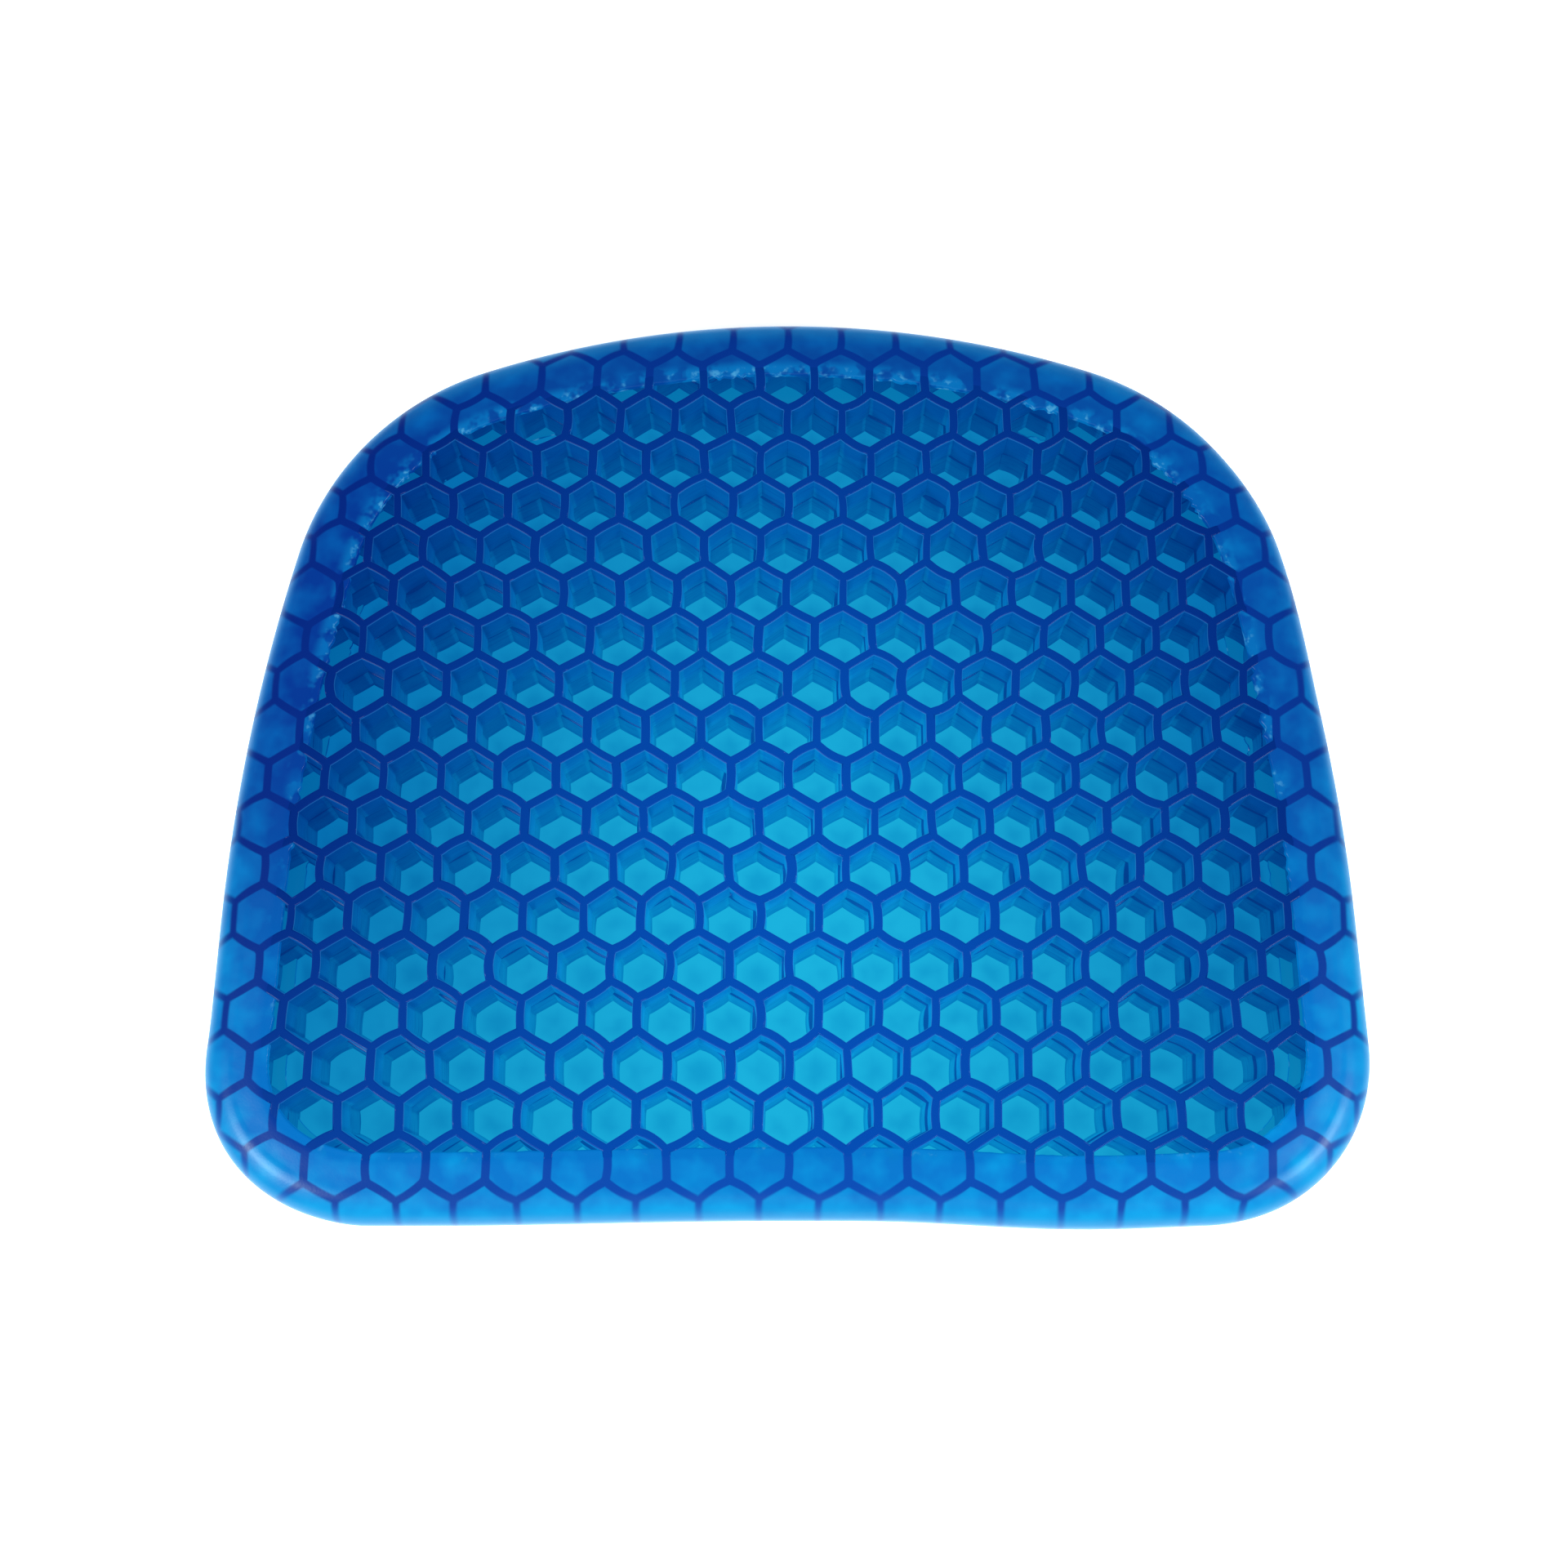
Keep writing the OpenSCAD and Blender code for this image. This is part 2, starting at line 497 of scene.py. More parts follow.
    def sheet(self, cells: np.ndarray, least: float) -> tuple[np.ndarray, np.ndarray]:
        """The part of the net that lies round some cells.

        Args:
            cells: which cells.
            least: how far inside the outline its points have to lie.

        Returns:
            Its points, and which of them lie round each cell.
        """
        used, rings = np.unique(self.rings[cells], return_inverse=True)
        return self.outline.held_inside(self.net[used], least), rings.reshape(len(cells), -1)

    def openings(self, rings: np.ndarray, net: np.ndarray, cells: np.ndarray, extra: float) -> np.ndarray:
        """The outlines of the cells at one height.

        Args:
            rings: the points of the net round each cell.
            net: the points of the net.
            cells: which cells the rings belong to.
            extra: how much further than half a wall the outline lies from the wall's middle line.

        Returns:
            An array of cell by point by coordinate.
        """
        ring = net[rings]
        before, after = ring - np.roll(ring, 1, 1), np.roll(ring, -1, 1) - ring

        def inward(d: np.ndarray) -> np.ndarray:
            """The unit vectors to the left of some directions."""
            size = np.linalg.norm(d, axis=2, keepdims=True)
            return np.stack([-d[..., 1], d[..., 0]], 2) / np.maximum(size, 1e-9)

        n0, n1 = inward(before), inward(after)
        miter = (n0 + n1) / np.maximum(1 + (n0 * n1).sum(2, keepdims=True), self.BLUNT)
        n = len(self.STOPS)
        half = np.repeat(self.wall_half[self.cell_walls[cells]], n, axis=1)
        half[:, ::n] = (half[:, ::n] + np.roll(half, 1, 1)[:, ::n]) / 2
        return ring + miter * (half + extra)[..., None]

    def wall_distance(self, points: np.ndarray) -> np.ndarray:
        """Measures points from the walls.

        Args:
            points: places in the plane.

        Returns:
            The distance from each to the middle line of the nearest wall.
        """
        a, b = (self.junctions[self.wall_ends[:, i]][:, None] for i in (0, 1))
        line = np.concatenate([a, self.inner, b], 1)
        share = np.linspace(0, 1, self.SAMPLES + 1)[:-1]
        dense = line[:, :-1, None] + (line[:, 1:, None] - line[:, :-1, None]) * share[None, None, :, None]
        dense = dense.reshape(-1, 2)
        tree = KDTree(len(dense))
        for i, (x, y) in enumerate(dense):
            tree.insert((x, y, 0.0), i)
        tree.balance()
        return np.array([tree.find((x, y, 0.0))[2] for x, y in points])


@dataclass(frozen=True)
class Stop:
    """One ring down the side of a cell: its height, its offset from half a wall, and its paint: the navy
    crown, or the painted highlight along the lip.
    """

    z: float
    extra: float
    crown: float = 0.0
    lip: float = 0.0


@dataclass
class Lattice:
    """One layer of cell walls, as a closed solid between two nets."""

    name: str
    node: str
    comb: Honeycomb
    layer: Layer
    skin_gap: float = 0.09 * MM
    skin_lap: float = 2.5 * MM
    side_lap: float = 0.15 * MM
    joint_lap: float = 0.05 * MM
    film_lap: float = 0.1 * MM
    held: float = 0.2 * MM

    def _stops(self) -> tuple[Stop, ...]:
        """The rings down the side of a cell, which is rounded at the top and wider walled at the film."""
        plan = self.comb.plan
        top, joint, film = plan.height, plan.joint, plan.film
        if self.layer is Layer.UPPER:
            return (
                Stop(top, -0.55 * MM, crown=1.0),
                Stop(top, -0.4 * MM, crown=1.0),
                Stop(top - 0.07 * MM, -0.08 * MM, crown=1.0),
                Stop(top - 0.3 * MM, 0.14 * MM, lip=1.0),
                Stop(top - 0.8 * MM, 0.22 * MM),
                Stop(joint + 0.6 * MM, 0.36 * MM),
                Stop(joint, 0.1 * MM),
            )
        return (
            Stop(joint, 0.05 * MM),
            Stop(joint - 0.3 * MM, 0.36 * MM),
            Stop(joint - 0.9 * MM, 0.4 * MM),
            Stop(film + 2.0 * MM, 0.75 * MM),
            Stop(film + 0.5 * MM, 1.1 * MM),
            Stop(film - self.film_lap, 1.5 * MM),
        )

    def _height(self, plane: np.ndarray, z: float) -> np.ndarray:
        """Keeps points below the border's outer surface.

        Args:
            plane: their X and Y.
            z: the height they would have.

        Returns:
            Their heights. Where the skin ends, the walls run on up through it.
        """
        plan = self.comb.plan
        depth, _ = self.comb.outline.depth_of(plane.reshape(-1, 2))
        skin = plan.surface(depth) - self.skin_gap
        under = depth < plan.border_w - self.skin_lap
        high = np.where(under, skin, plan.height)
        low = np.where(under, plan.height - skin, 0.0)
        return np.clip(z, low, high).reshape(plane.shape[:-1])

    def build(self) -> bpy.types.Object:
        """Makes the piece, which stands for its CAD node.

        Returns:
            The piece.
        """
        comb, plan = self.comb, self.comb.plan
        high, low = plan.height, plan.joint - self.joint_lap
        if self.layer is Layer.LOWER:
            high, low = plan.joint, plan.film - self.film_lap
        cells = np.flatnonzero(comb.hollow)
        net, rings = comb.sheet(cells, plan.side_t - self.side_lap)
        corner = np.zeros(rings.shape)
        corner[:, :: len(comb.STOPS)] = 1.0
        draft = Draft("crown", "lip", "corner")
        top = draft.add(net, self._height(net, high), crown=1.0)
        bottom = draft.add(net, self._height(net, low))
        levels = [top[rings]]
        for stop in self._stops():
            ring = comb.openings(rings, net, cells, stop.extra)
            least = plan.side_t + plan.wall_t / 2 + stop.extra
            held = comb.outline.held_inside(ring.reshape(-1, 2), least).reshape(ring.shape)
            free = np.linalg.norm(held - ring, axis=-1) < self.held
            height = self._height(held, stop.z)
            levels.append(draft.add(held, height, crown=stop.crown, lip=stop.lip, corner=corner * free))
        levels.append(bottom[rings])
        draft.strips(levels)
        draft.rim(rings, top, bottom)
        piece = draft.piece(self.name)
        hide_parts(self.node)
        return piece


@dataclass
class Border:
    """The smooth band of one moulding, as a shell whose section is carried round the outline."""

    name: str
    node: str
    comb: Honeycomb
    layer: Layer
    step: float
    groove: float = 0.35 * MM
    groove_h: float = 0.5 * MM
    lip: float = 0.7 * MM
    chamfer: float = 0.4 * MM
    flash: float = 0.45 * MM
    sag: float = 0.16 * MM
    sag_range: tuple[float, float] = (1 * MM, 7 * MM)
    drop: float = 0.24 * MM
    drop_range: tuple[float, float] = (4 * MM, 1 * MM)

    def _section(self) -> list[tuple[float, float]]:
        """Lays points round the upper border's section, from the joint up the outside and back inside.

        Returns:
            The inset and the height of each.
        """
        p, lip = self.comb.plan, self.lip
        r, joint, wall_foot = p.edge_r, p.joint, p.joint + self.groove_h
        section = [(self.groove, joint), (0.1 * MM, joint + 0.15 * MM), (0.0, wall_foot)]
        section += [(0.0, z) for z in np.linspace(wall_foot, p.height - r, 4)[1:-1]]
        turn = np.radians(np.linspace(0, 90, math.ceil(r * math.pi / 2 / self.step)))
        flat = np.linspace(r, p.border_w - lip, math.ceil((p.border_w - lip - r) / self.step))
        for inset in (*(r - r * np.cos(turn)), *flat[1:]):
            section.append((float(inset), float(p.surface(np.array(inset)))))
        for angle in np.radians(np.linspace(0, 90, 5)[1:]):
            inset, z = lip * math.sin(angle), lip * math.cos(angle)
            section.append((p.border_w - lip + inset, p.height - lip + z))
        under = p.height - p.skin_t
        section += [(p.border_w, under + lip), (p.border_w - self.chamfer, under)]
        section += [(inset, under) for inset in np.linspace(p.border_w - self.chamfer, p.side_t, 5)[1:]]
        section += [(p.side_t, z) for z in np.linspace(under, joint, 4)[1:]]
        return section

    def _flash(self, outline: Outline) -> np.ndarray:
        """How far the skin's ragged inner edge reaches out, most of all in patches and at the back.

        Args:
            outline: the outline that the section is carried round.

        Returns:
            The reach at each point of the outline.
        """
        gaps = np.linalg.norm(np.diff(outline.base, axis=0), axis=1)
        around = np.concatenate([[0], np.cumsum(gaps)])[:, None]
        ragged = Ripple(seed=31, shortest=3 * MM, longest=14 * MM, waves=14, inputs=1).at(around)
        patchy = Ripple(seed=32, shortest=40 * MM, longest=160 * MM, waves=7, inputs=1).at(around)
        patchy = ramp(patchy, -0.2, 0.9)
        back = ramp(outline.base[:, 1], -0.13, -0.05)
        return self.flash * ragged * (0.12 + 0.88 * patchy) * (0.15 + 0.85 * back)

    def build(self) -> bpy.types.Object:
        """Makes the piece, which stands for its CAD node.

        Returns:
            The piece.
        """
        comb, plan = self.comb, self.comb.plan
        outline = Outline(plan, self.step)
        draft, flash = Draft("wall", "roll", "inset"), self._flash(outline)
        is_upper = self.layer is Layer.UPPER
        rings = []
        for inset, z in self._section():
            inner = float(np.clip((inset - plan.edge_r) / (plan.border_w - plan.edge_r), 0, 1)) ** 8
            plane = outline.base - outline.normal * (inset + inner * flash)[:, None]
            wall = comb.wall_distance(plane)
            flat = inset >= plan.edge_r and z > plan.height - plan.skin_t / 2
            sag = self.sag * ramp(wall, *self.sag_range) if flat else 0.0
            start, end = (plan.border_w - reach for reach in self.drop_range)
            drop = self.drop * float(ramp(np.array(inset), start, end))
            height = z - sag - drop if is_upper else plan.height - z
            roll = float(np.clip(1 - inset / plan.edge_r, 0, 1))
            rings.append(draft.add(plane, height, wall=wall / MM, roll=roll, inset=inset / MM))
        rings.append(rings[0])
        draft.strips(rings if is_upper else rings[::-1])
        piece = draft.piece(self.name)
        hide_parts(self.node)
        return piece


@dataclass
class Film:
    """The thin web that closes the cells at the underside, slightly thicker in the middle of a cell."""

    name: str
    node: str
    comb: Honeycomb
    cell_reach: float = 13 * MM
    lap: float = 0.2 * MM
    rise: float = 0.45 * MM
    shares: tuple[float, ...] = (0.82, 0.6, 0.4, 0.2)

    def build(self) -> bpy.types.Object:
        """Makes the piece, which stands for its CAD node.

        Returns:
            The piece.
        """
        comb, plan = self.comb, self.comb.plan
        depth, _ = comb.outline.depth_of(comb.centres)
        cells = np.flatnonzero(depth > plan.border_w - self.cell_reach)
        net, rings = comb.sheet(cells, plan.border_w - self.lap)
        draft = Draft("spot")
        top, bottom = draft.add(net, plan.film), draft.add(net, 0.0)
        ring, centre = net[rings], net[rings].mean(1)
        levels = [top[rings]]
        for share in self.shares:
            plane = centre[:, None] + (ring - centre[:, None]) * share
            spot = 1 - share
            height = plan.film + self.rise * ramp(np.array(spot), 0.1, 0.9)
            levels.append(draft.add(plane, height, spot=spot))
        draft.strips(levels)
        draft.fan(levels[-1], draft.add(centre, plan.film + self.rise, spot=1.0))
        draft.fan(bottom[rings][:, ::-1], draft.add(centre, 0.0))
        draft.rim(rings, top, bottom)
        piece = draft.piece(self.name)
        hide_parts(self.node)
        return piece


class Field:
    """One output of a shader tree. Arithmetic on it adds Math nodes."""

    def __init__(self, tree: "Tree", socket: bpy.types.NodeSocket) -> None:
        """Wraps an output socket of a tree."""
        self.tree, self.socket = tree, socket

    def __add__(self, other: "Field | float") -> "Field":
        """The sum."""
        return self.tree.math("ADD", self, other)

    def __sub__(self, other: "Field | float") -> "Field":
        """The difference."""
        return self.tree.math("SUBTRACT", self, other)

    def __rsub__(self, other: float) -> "Field":
        """A number less this."""
        return self.tree.math("SUBTRACT", other, self)

    def __mul__(self, other: "Field | float") -> "Field":
        """The product."""
        return self.tree.math("MULTIPLY", self, other)

    def __truediv__(self, other: "Field | float") -> "Field":
        """The quotient."""
        return self.tree.math("DIVIDE", self, other)

    __radd__ = __add__
    __rmul__ = __mul__

    def step(self, start: "Field | float", end: "Field | float") -> "Field":
        """A smooth step from 0 at start to 1 at end."""
        sockets = {"Value": self, "From Min": start, "From Max": end}
        return self.tree.node("ShaderNodeMapRange", sockets, interpolation_type="SMOOTHSTEP")["Result"]


class Nodes(dict):
    """The outputs of a node by name, as fields."""


class Tree:
    """The node tree of one material."""

    def __init__(self, name: str) -> None:
        """Starts a material with an empty tree.

        Args:
            name: name of the material.
        """
        self.material = bpy.data.materials.new(name)
        self.material.use_nodes = True
        self.nodes, self.links = self.material.node_tree.nodes, self.material.node_tree.links
        self.nodes.clear()
        coordinates = self.node("ShaderNodeTexCoord")
        self.place, self.normal = coordinates["Object"], coordinates["Normal"]

    def node(self, kind: str, sockets: dict | None = None, **settings: str) -> Nodes:
        """Adds a node.

        Args:
            kind: its type.
            sockets: inputs by name or index, each a value or a field.
            settings: its properties.

        Returns:
            Its outputs by name.
        """
        node = self.nodes.new(kind)
        for key, value in settings.items():
            setattr(node, key, value)
        for key, value in (sockets or {}).items():
            if isinstance(value, Field):
                self.links.new(value.socket, node.inputs[key])
            else:
                node.inputs[key].default_value = value
        return Nodes({out.name: Field(self, out) for out in node.outputs if out.enabled})

    def math(self, operation: str, *values: "Field | float") -> Field:
        """A Math node."""
        return self.node("ShaderNodeMath", dict(enumerate(values)), operation=operation)["Value"]

    def axes(self, vector: Field) -> Nodes:
        """The X, Y and Z of a vector."""
        return self.node("ShaderNodeSeparateXYZ", {"Vector": vector})

    def mix(
        self, share: "Field | float", a: "Field | tuple", b: "Field | tuple", blend: str = "MIX"
    ) -> Field:
        """A blend of two colours."""
        sockets = {0: share, 6: a, 7: b}
        return self.node("ShaderNodeMix", sockets, data_type="RGBA", blend_type=blend)["Result"]

    def attribute(self, name: str) -> Field:
        """A number stored on the mesh."""
        return self.node("ShaderNodeAttribute", attribute_name=name)["Fac"]

    def noise(
        self, size: float, detail: float = 2.0, stretch: tuple = (1, 1, 1), offset: float = 0.0
    ) -> Field:
        """Smooth noise.

        Args:
            size: about how large its features are.
            detail: how many finer layers it has.
            stretch: how much it is squeezed along each axis.
            offset: moves it, so that two noises differ.

        Returns:
            The noise, around 0.5.
        """
        sockets = {"Vector": self.place, "Scale": stretch, "Location": (offset, offset, 0)}
        place = self.node("ShaderNodeMapping", sockets)["Vector"]
        return self.node("ShaderNodeTexNoise", {"Vector": place, "Scale": 1 / size, "Detail": detail})["Fac"]


def display_to_linear(value: float) -> float:
    """The sRGB curve, from a display value to a linear one."""
    return value / 12.92 if value <= 0.04045 else ((value + 0.055) / 1.055) ** 2.4


def srgb(red: float, green: float, blue: float) -> tuple[float, float, float, float]:
    """A linear colour from 8-bit display values."""
    return (*(display_to_linear(value / 255) for value in (red, green, blue)), 1.0)


@dataclass(frozen=True)
class Shade:
    """A colour of the gel in 8-bit display values, in a painted-shade version and a painted-lit version."""

    dim: tuple[float, float, float]
    lit: tuple[float, float, float]

    def at(self, tree: Tree, light: Field) -> Field:
        """The colour for a share of the painted light."""
        return tree.mix(light, srgb(*self.dim), srgb(*self.lit))


@dataclass(frozen=True)
class Gel:
    """The clear blue gel. Thick gel is navy and thin gel is cyan, because it absorbs red and green."""

    plan: Plan
    # Strength of the painted glow: emission that stands for light coming through the gel.
    painted_glow: float = 0.84
    body: float = 0.12
    shine: float = 0.11
    roughness: float = 0.33
    refraction: float = 1.42
    # Centre and reach of the pool of light painted over the cushion.
    light_place: tuple[float, float] = (0.008, -0.085)
    light_reach: tuple[float, float] = (0.20, 0.31)
    # Each colour is painted in a shaded and a lit version, blended by the painted pool of light.
    wall_top: Shade = Shade((0, 29, 108), (1, 72, 168))
    wall_deep: Shade = Shade((0, 37, 119), (0, 112, 194))
    wall_pale: Shade = Shade((0, 67, 149), (8, 155, 214))
    film_dull: Shade = Shade((0, 74, 154), (6, 155, 212))
    film_clear: Shade = Shade((0, 102, 180), (30, 191, 233))
    skin_deep: Shade = Shade((0, 52, 141), (0, 118, 200))
    skin_pale: Shade = Shade((0, 95, 174), (2, 161, 225))
    seen_wall: Shade = Shade((0, 32, 118), (2, 72, 170))
    inner_floor: Shade = Shade((0, 100, 170), (20, 172, 219))

    def finish(
        self, tree: Tree, colour: Field, height: Field, bump: float, shine: float
    ) -> bpy.types.Material:
        """Closes a tree with the gel's surface, which gives off its colour as a painted glow.

        Args:
            tree: the tree.
            colour: the gel's colour, also given off as the painted glow that stands for light coming through
                the gel.
            height: the small unevenness of the surface.
            bump: how deep that unevenness is.
            shine: how strongly the surface reflects.

        Returns:
            The tree's material.
        """
        normal = tree.node("ShaderNodeBump", {"Height": height, "Distance": bump, "Strength": 0.5})["Normal"]
        base = tree.mix(1.0, colour, (self.body,) * 3 + (1.0,), "MULTIPLY")
        shader = tree.node("ShaderNodeBsdfPrincipled", {
            "Base Color": base,
            "Roughness": self.roughness,
            "IOR": self.refraction,
            "Specular IOR Level": shine,
            # Painted glow: the colour is given off as emission.
            "Emission Color": colour,
            "Emission Strength": self.painted_glow,
            "Normal": normal,
        })["BSDF"]
        tree.node("ShaderNodeOutputMaterial", {"Surface": shader})
        return tree.material

    def light(self, tree: Tree) -> Field:
        """The painted light: a pool of light painted over the cushion by place, brightest towards the middle
        of the front.

        Args:
            tree: the tree of the material.

        Returns:
            A share, 1 at the brightest place.
        """
        axes = tree.axes(tree.place)
        x, y = (
            (axes[key] - place) / reach
            for key, place, reach in zip("XY", self.light_place, self.light_reach)
        )
        away = tree.math("SQRT", x * x + y * y)
        return 1 - away.step(0.0, 1.25) * (1 - axes["Y"].step(-0.03, -0.165) * 0.4)

    def lattice(self, name: str) -> bpy.types.Material:
        """Walls: navy along the top, blue down the sides with painted shade darker towards the top and on
        front-facing sides, a dark joint, dark corners and a painted highlight along the lip.

        Args:
            name: name of the material.

        Returns:
            The material.
        """
        tree, plan = Tree(name), self.plan
        light, z, normal = self.light(tree), tree.axes(tree.place)["Z"], tree.axes(tree.normal)
        crown, lip, corner = (tree.attribute(key) for key in ("crown", "lip", "corner"))
        # Painted light: each colour goes from its shaded to its lit version with the painted pool of light.
        shades = (self.wall_top, self.wall_deep, self.wall_pale)
        navy, deep, pale = (shade.at(tree, light) for shade in shades)
        cloud = tree.noise(14 * MM)
        streak = tree.noise(1.1 * MM, detail=3.0, stretch=(0.08, 0.08, 1.0))
        # Painted shade: the sides are darker towards the top and lighter down towards the film, with a random
        # cloudy tone.
        fall = z.step(plan.height, plan.film + 2 * MM)
        # Painted shade on the sides that face the front, weaker where the painted light is strong.
        painted_front_shade = normal["Y"].step(-0.2, -0.8) * (0.65 - light * 0.4)
        side = tree.mix(fall * 0.6 + 0.3 + (cloud - 0.5) * 0.7 - painted_front_shade, deep, pale)
        side = tree.mix(streak.step(0.5, 0.7) * 0.3, side, navy)
        joint = tree.math("ABSOLUTE", z - plan.joint).step(0.5 * MM, 0.1 * MM)
        side = tree.mix(joint * 0.3, side, navy)
        side = tree.mix(corner * 0.8, side, navy)
        # Painted highlight along the rounded lip below the wall top, stronger where the painted light is.
        side = tree.mix(lip * (light * 0.25 + 0.3), side, srgb(60, 150, 225))
        ledge = z.step(plan.joint - 1.5 * MM, plan.joint - 0.5 * MM) * 0.7
        ledge = normal["Z"].step(0.3, 0.8) * ledge
        colour = tree.mix(tree.math("MAXIMUM", crown, ledge), side, navy)
        return self.finish(tree, colour, streak, bump=0.03 * MM, shine=self.shine / 2)

    def film(self, name: str) -> bpy.types.Material:
        """Film: cyan, brighter in the painted pool of light, with a soft darker spot in the middle of each
        cell.

        Args:
            name: name of the material.

        Returns:
            The material.
        """
        tree = Tree(name)
        light, spot = self.light(tree), tree.attribute("spot")
        cloud = tree.noise(16 * MM, offset=3.0)
        shade = spot.step(0.2, 0.9) * cloud.step(0.3, 0.65)
        # Painted light: the film goes from its shaded to its lit colours with the painted pool of light.
        dull, clear = self.film_dull.at(tree, light), self.film_clear.at(tree, light)
        colour = tree.mix(1 - shade * 0.55, dull, clear)
        return self.finish(tree, colour, cloud, bump=0.4 * MM, shine=self.shine / 2)

    def _skin(self, tree: Tree, axes: Nodes, wall: Field, roll: Field, inset: Field) -> Field:
        """The skin: painted light makes it paler ahead, at the right and where it rolls over the edge; it is
        also paler in mid-cell.

        Args:
            tree: the tree of the material.
            axes: the place's X, Y and Z.
            wall: distance from the nearest wall's middle line, in millimetres.
            roll: 0 where the skin is flat, 1 at the outline.
            inset: distance inside the outline, in millimetres.

        Returns:
            Its colour.
        """
        cloud = tree.noise(11 * MM, offset=5.0)
        # Painted light: the skin goes from its shaded to its lit colours ahead and towards the right.
        share = axes["Y"].step(0.02, -0.168) * 0.85 + axes["X"].step(0.0, 0.2) * 0.22
        # Paler towards the outline, with painted edge light where the skin rolls over, a random cloudy tone,
        # and paler in mid-cell between walls.
        paler = inset.step(22.0, 5.0) * 0.4 + roll.step(0.3, 1.0) * 0.5
        paler = paler + (cloud - 0.5) * 1.5 + wall.step(4.0, 9.5) * 0.25
        skin = tree.mix(paler, self.skin_deep.at(tree, share), self.skin_pale.at(tree, share))
        behind = axes["Y"].step(0.09, 0.165) * (0.15 + roll.step(0.0, 0.7) * 0.5)
        skin = tree.mix(behind, skin, srgb(14, 118, 182))
        # Painted edge light: the outermost roll is painted pale cyan.
        return tree.mix(roll.step(0.5, 1.0) * 0.55, skin, srgb(48, 150, 212))

    def _flash_sheen(self, tree: Tree, axes: Nodes, line: Field, inset: Field, skin: Field) -> Field:
        """Adds pale patches of painted sheen on the flash and painted glints along the skin's inner edge,
        more of them towards the back.

        Args:
            tree: the tree of the material.
            axes: the place's X, Y and Z.
            line: 1 over a wall.
            inset: distance inside the outline, in millimetres.
            skin: the skin's colour.

        Returns:
            The skin's colour with its painted sheen and glints.
        """
        far = axes["Y"].step(-0.12, 0.15)
        flash_sheen = tree.noise(7 * MM, offset=9.0).step(0.55 - far * 0.13, 0.66 - far * 0.1)
        flash_sheen = inset.step(18.0, 22.5) * (0.45 + far * 0.55) * line.step(0.9, 0.4) * flash_sheen
        # Painted sheen: pale patches on the ragged flash.
        skin = tree.mix(flash_sheen * 0.7, skin, srgb(4, 118, 188))
        # Painted glints: small whitish highlights within the sheen.
        glint = tree.noise(3 * MM, detail=4.0, offset=2.0).step(0.53, 0.66)
        return tree.mix(flash_sheen * glint * inset.step(21.0, 24.0) * 0.55, skin, srgb(90, 176, 220))

    def border(self, name: str) -> bpy.types.Material:
        """Border: blue skin with the walls seen through it, blurred where it rolls over the edge.

        Args:
            name: name of the material.

        Returns:
            The material.
        """
        tree, joint = Tree(name), self.plan.joint
        light, axes = self.light(tree), tree.axes(tree.place)
        wall, roll, inset = (tree.attribute(key) for key in ("wall", "roll", "inset"))
        soft, half = 0.3 + roll * 0.9, 1.5 - roll * 0.4
        line = 1 - wall.step(half - soft, half + soft)
        skin = self._flash_sheen(tree, axes, line, inset, self._skin(tree, axes, wall, roll, inset))
        # Painted light: the walls seen through the skin are lighter in the painted pool of light and towards
        # the right.
        navy = self.seen_wall.at(tree, light + axes["X"].step(0.0, 0.2) * 0.15)
        violet = roll.step(0.35, 1.0) * axes["Y"].step(-0.06, -0.175)
        seen = tree.mix(violet, navy, srgb(44, 80, 178))
        colour = tree.mix(line * (1 - roll.step(0.4, 1.0) * 0.55), skin, seen)
        floor = tree.axes(tree.normal)["Z"].step(0.3, 0.8) * axes["Z"].step(joint, joint - 3 * MM)
        # Painted light: the upward faces inside the lower border are painted in the lit floor colour,
        # brighter in the painted pool of light.
        colour = tree.mix(floor, colour, self.inner_floor.at(tree, light))
        return self.finish(tree, colour, tree.noise(0.9 * MM), bump=0.05 * MM, shine=self.shine)


@dataclass(frozen=True)
class SoftBox:
    """A rectangular studio light."""

    name: str
    place: tuple[float, float, float]
    size: tuple[float, float]
    power: float
    aim: tuple[float, float, float] = (0.0, 0.0, 0.0)
    tint: tuple[float, float, float] = (0.78, 1.0, 1.0)

    def put(self) -> None:
        """Adds the light, turned towards its aim."""
        light = bpy.data.lights.new(self.name, "AREA")
        light.shape = "RECTANGLE"
        light.size, light.size_y = self.size
        light.energy = self.power
        light.color = self.tint
        lamp = bpy.data.objects.new(self.name, light)
        bpy.context.scene.collection.objects.link(lamp)
        lamp.location = self.place
        lamp.rotation_euler = (Vector(self.aim) - lamp.location).to_track_quat("-Z", "Y").to_euler()


@dataclass(frozen=True)
class Camera:
    """The camera: where it stands, how it is turned, and its lens on a 36 mm sensor."""

    place: tuple[float, float, float]
    tilt: float
    roll: float
    lens: float

    def put(self) -> None:
        """Adds the camera and makes it the scene's."""
        data = bpy.data.cameras.new("camera")
        data.sensor_width = 36
        data.lens = self.lens
        camera = bpy.data.objects.new("camera", data)
        bpy.context.scene.collection.objects.link(camera)
        tilt = Matrix.Rotation(math.radians(self.tilt), 4, "X")
        roll = Matrix.Rotation(math.radians(self.roll), 4, "Z")
        camera.matrix_world = Matrix.Translation(self.place) @ (tilt @ roll)
        bpy.context.scene.camera = camera


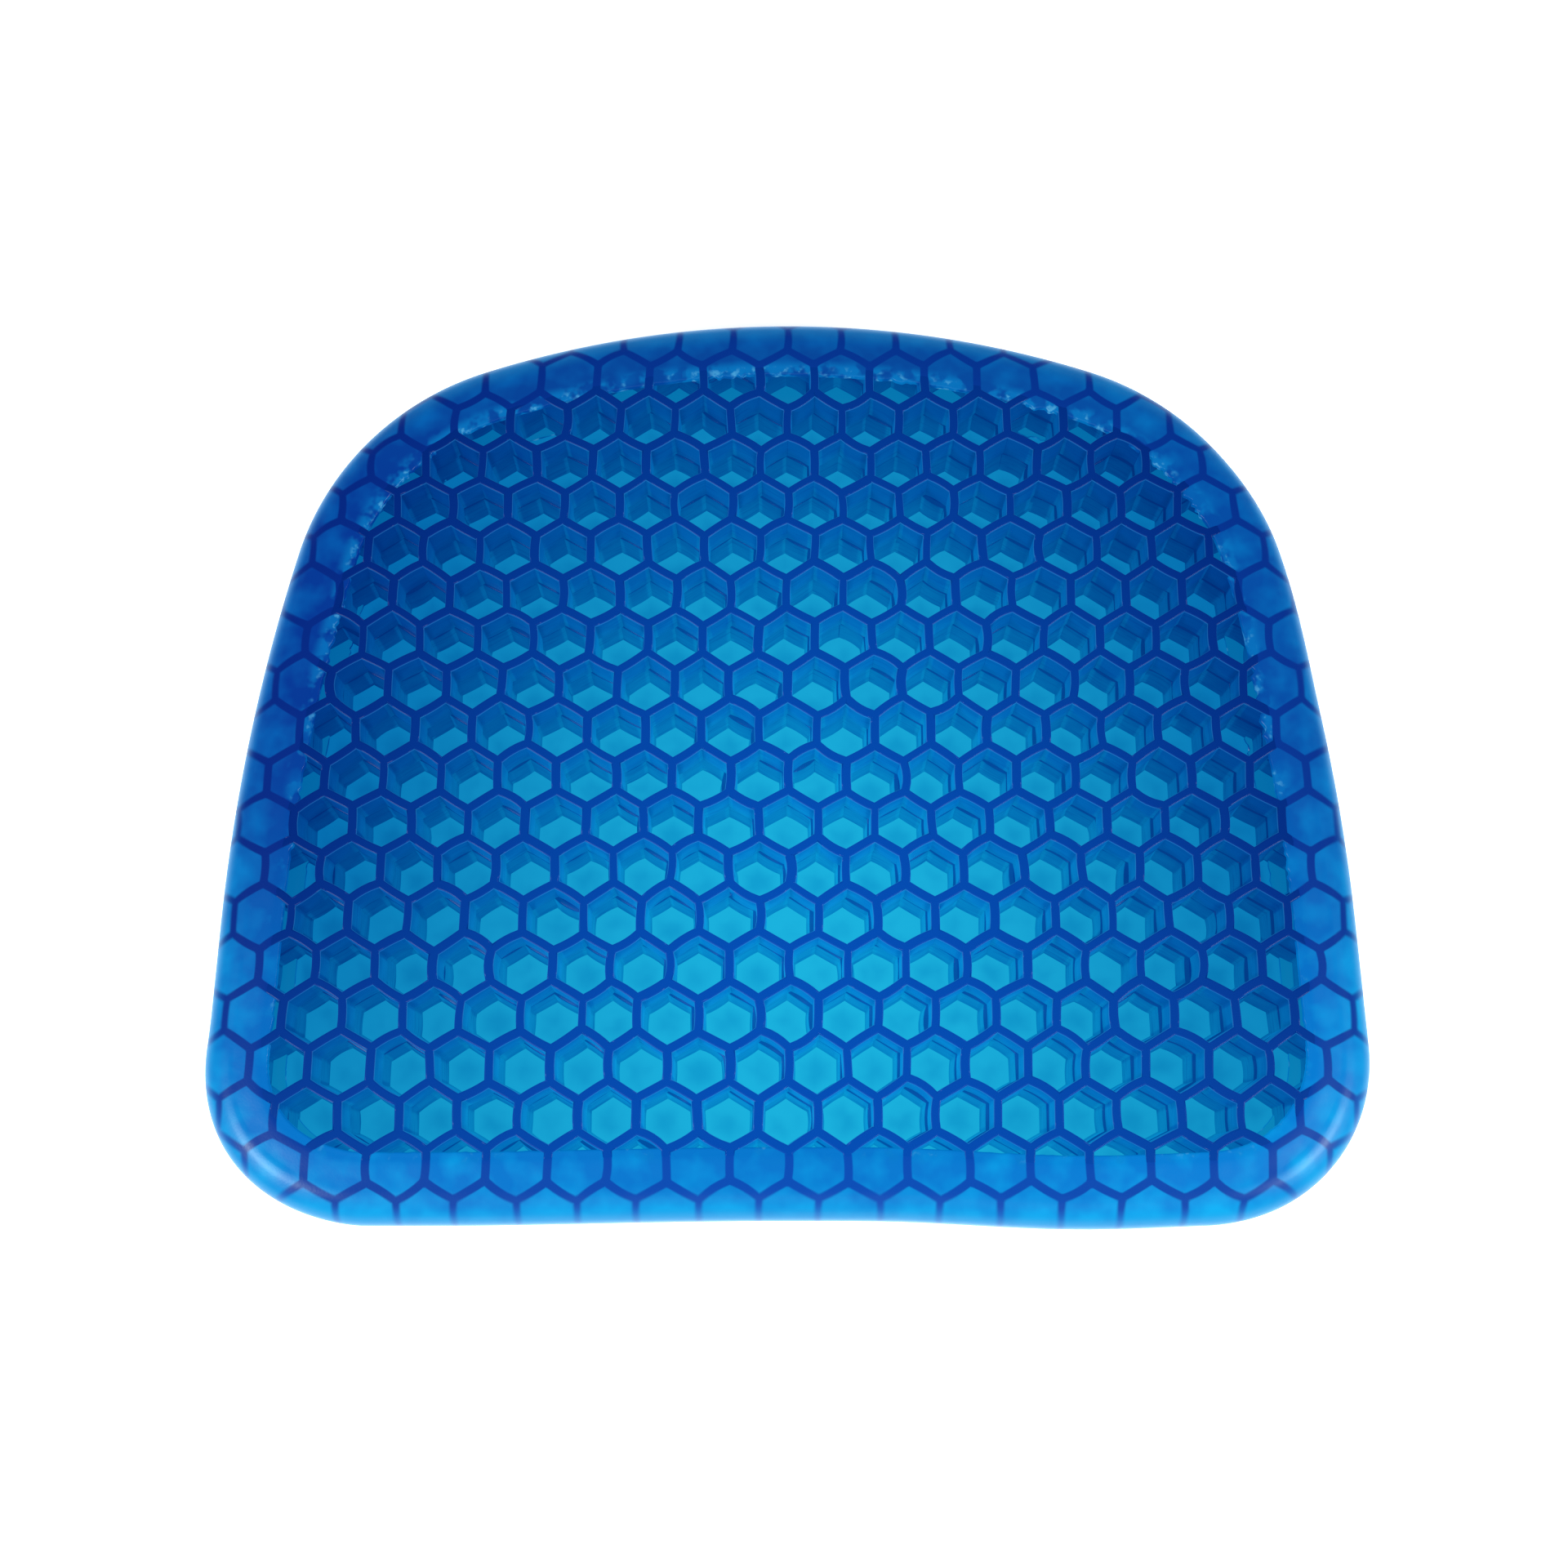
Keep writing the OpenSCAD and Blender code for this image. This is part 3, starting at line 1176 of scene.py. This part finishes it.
@dataclass(frozen=True)
class Studio:
    """A white table under an even sky, with soft boxes and the camera."""

    table_size: float = 8.0
    table_gap: float = 0.3 * MM
    table_grey: float = 200.0
    table_glow: float = 0.82
    sky_glow: float = 0.2
    boxes: tuple[SoftBox, ...] = (
        SoftBox("left box", (-0.80, -0.50, 0.80), (0.38, 0.28), 30.0),
        SoftBox("right box", (0.84, -0.44, 0.78), (0.38, 0.26), 25.0),
        SoftBox("front box", (0.0, -0.95, 0.9), (0.9, 0.4), 3.0),
    )
    camera: Camera = Camera((-0.0014, -0.1968, 0.742), 14.28, -0.1, 45.78)

    def _table(self) -> None:
        """Adds the table, just under the cushion."""
        bpy.ops.object.select_all(action="DESELECT")
        bpy.ops.mesh.primitive_plane_add(size=self.table_size, location=(0, 0, -self.table_gap))
        table = bpy.context.object
        table.name = "floor"
        tree = Tree("white table")
        shader = tree.node("ShaderNodeBsdfPrincipled", {
            "Base Color": srgb(self.table_grey, self.table_grey, self.table_grey),
            "Roughness": tree.noise(3 * MM) * 0.1 + 0.8,
            "Emission Color": (1, 1, 1, 1),
            "Emission Strength": self.table_glow,
        })["BSDF"]
        tree.node("ShaderNodeOutputMaterial", {"Surface": shader})
        table.data.materials.append(tree.material)

    def _sky(self) -> None:
        """Adds the white sky."""
        world = bpy.data.worlds.new("studio")
        bpy.context.scene.world = world
        world.use_nodes = True
        background = world.node_tree.nodes["Background"]
        background.inputs["Color"].default_value = (1, 1, 1, 1)
        background.inputs["Strength"].default_value = self.sky_glow

    def build(self) -> None:
        """Sets up the table, the light and the camera."""
        self._table()
        self._sky()
        for box in self.boxes:
            box.put()
        self.camera.put()
        bpy.context.scene.view_settings.view_transform = "Standard"


def main() -> None:
    """Builds the cushion, its gel and the studio."""
    logging.basicConfig(level=logging.INFO, format="%(message)s")
    low, high = (Vector(corner) for corner in CAD_BOX)
    plan = Plan(high.x - low.x, high.y - low.y, high.z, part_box("floor_film")[1][2])
    outline = Outline(plan, 2 * MM)
    upper_comb = Honeycomb(plan, outline, 0.0, 7)
    lower_comb = Honeycomb(plan, outline, -plan.layer_shift, 7)
    gel = Gel(plan)
    walls, skin, film = gel.lattice("gel walls"), gel.border("gel border"), gel.film("gel film")
    for part, material in (
        (Lattice("upper_gel_lattice", "upper_honeycomb", upper_comb, Layer.UPPER), walls),
        (Lattice("lower_gel_lattice", "lower_honeycomb", lower_comb, Layer.LOWER), walls),
        (Border("upper_gel_border", "upper_border", upper_comb, Layer.UPPER, 0.8 * MM), skin),
        (Border("lower_gel_border", "lower_border", upper_comb, Layer.LOWER, 1.5 * MM), skin),
        (Film("gel_film", "floor_film", lower_comb), film),
    ):
        part.build().data.materials.append(material)
    Studio().build()


if __name__ == "__main__":
    main()
